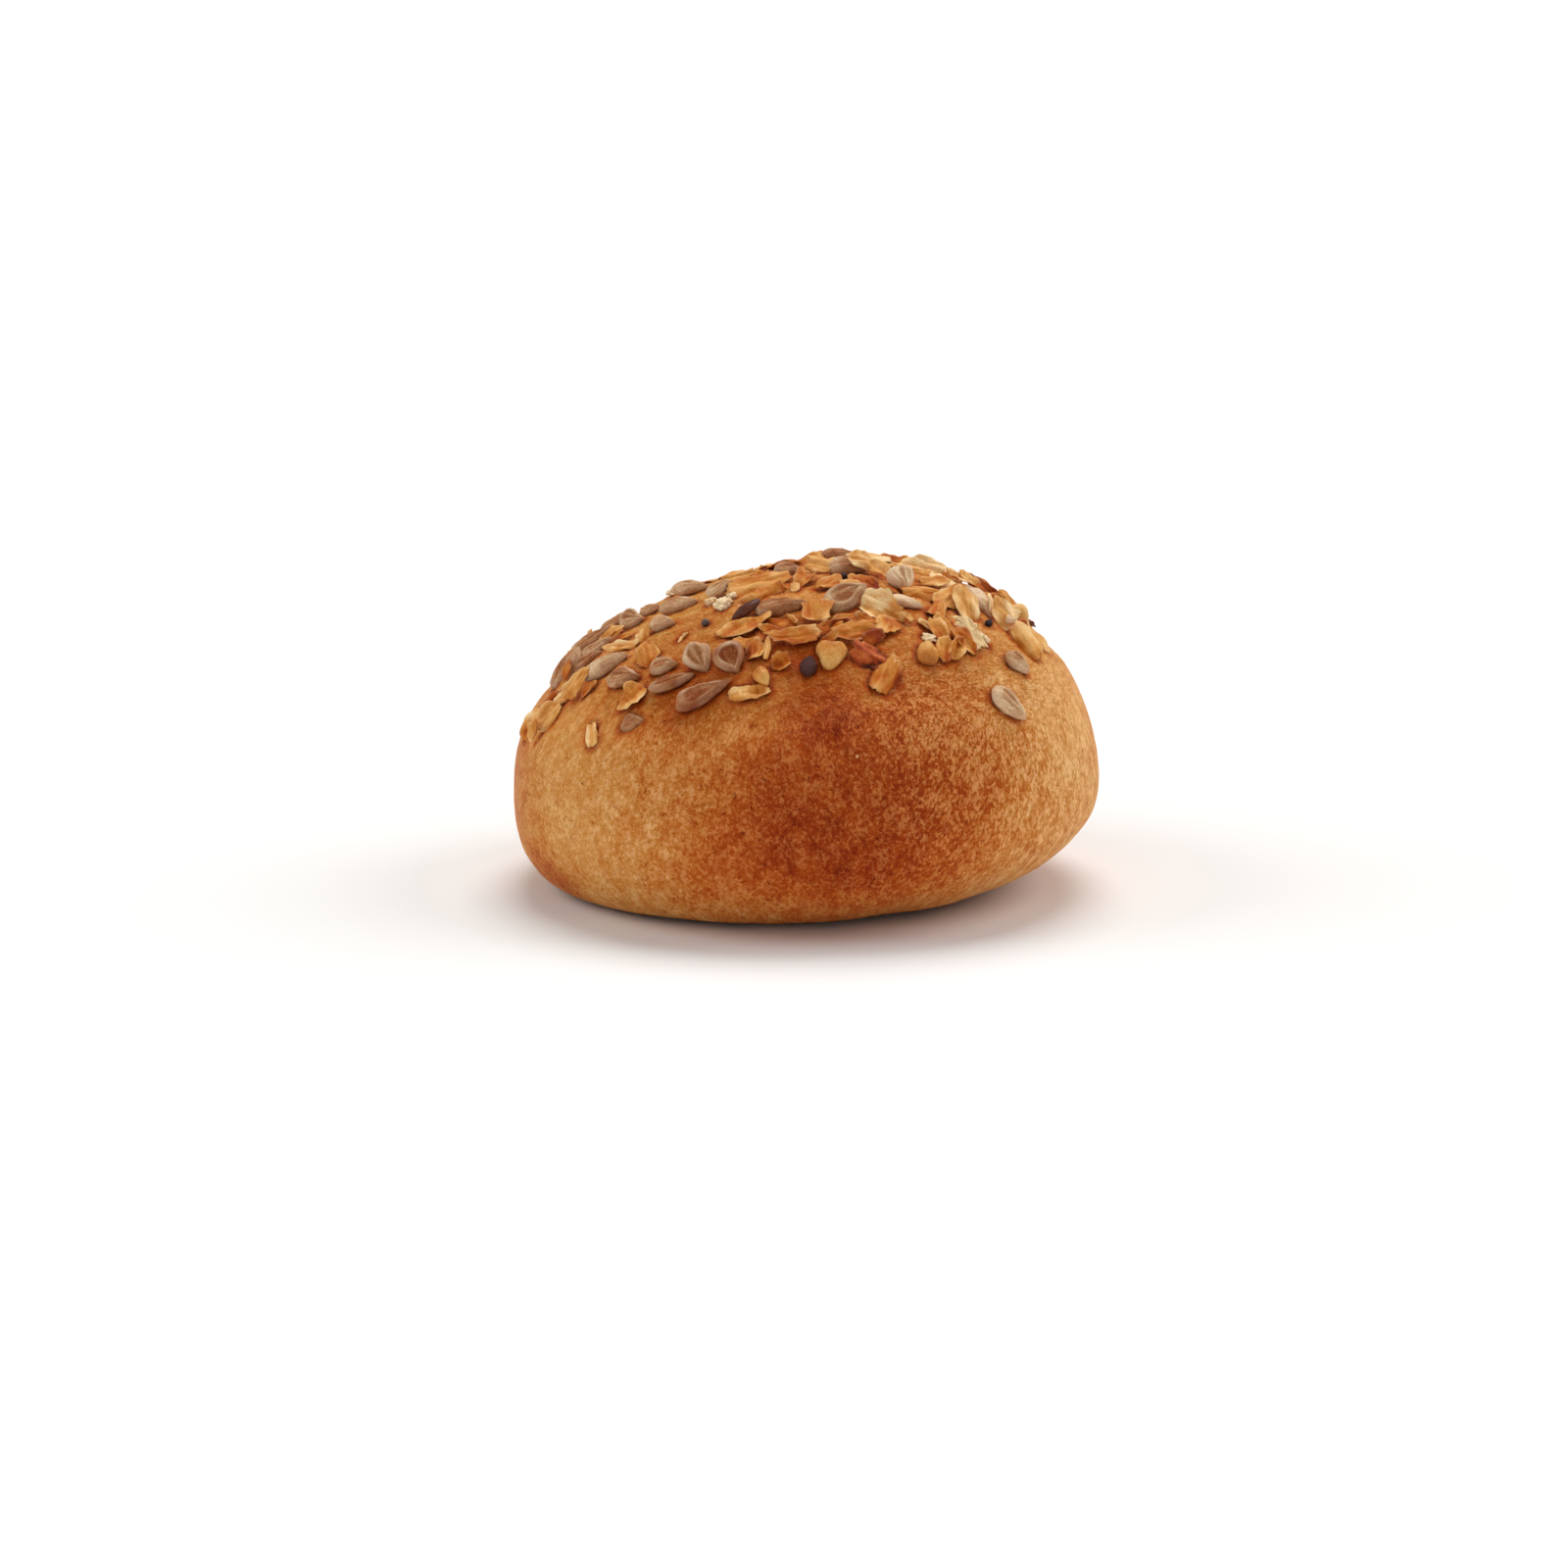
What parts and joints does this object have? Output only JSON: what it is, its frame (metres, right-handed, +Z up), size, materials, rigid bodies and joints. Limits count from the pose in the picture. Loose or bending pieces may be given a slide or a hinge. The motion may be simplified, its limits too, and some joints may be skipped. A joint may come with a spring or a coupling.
{
  "type": "pogaca",
  "caption": "Round domed bread roll, a pogaca, with a flat base and a browned crust topped with sunflower kernels, oat flakes and small seeds.",
  "frame": {"origin": "middle of the roll's footprint, on the flat face that it rests on", "axes": "+Z up, +X to the right seen from the front, the front facing -Y"},
  "size_m": [0.0898, 0.0878, 0.0495],
  "materials": {
    "crust": "baked crust, golden to red brown, finely speckled, satin",
    "sunflower_kernels": "toasted hulled sunflower kernels, grey beige to brown, matt",
    "oat_flakes": "toasted oat flakes, straw to amber, matt with a fine grain",
    "pale_seeds": "sesame and broken grain, cream to straw, satin",
    "dark_seeds": "flax, black seed and poppy seed, near black, satin"
  },
  "bodies": {
    "root": {"roll": "crust"}
  },
  "joints": []
}
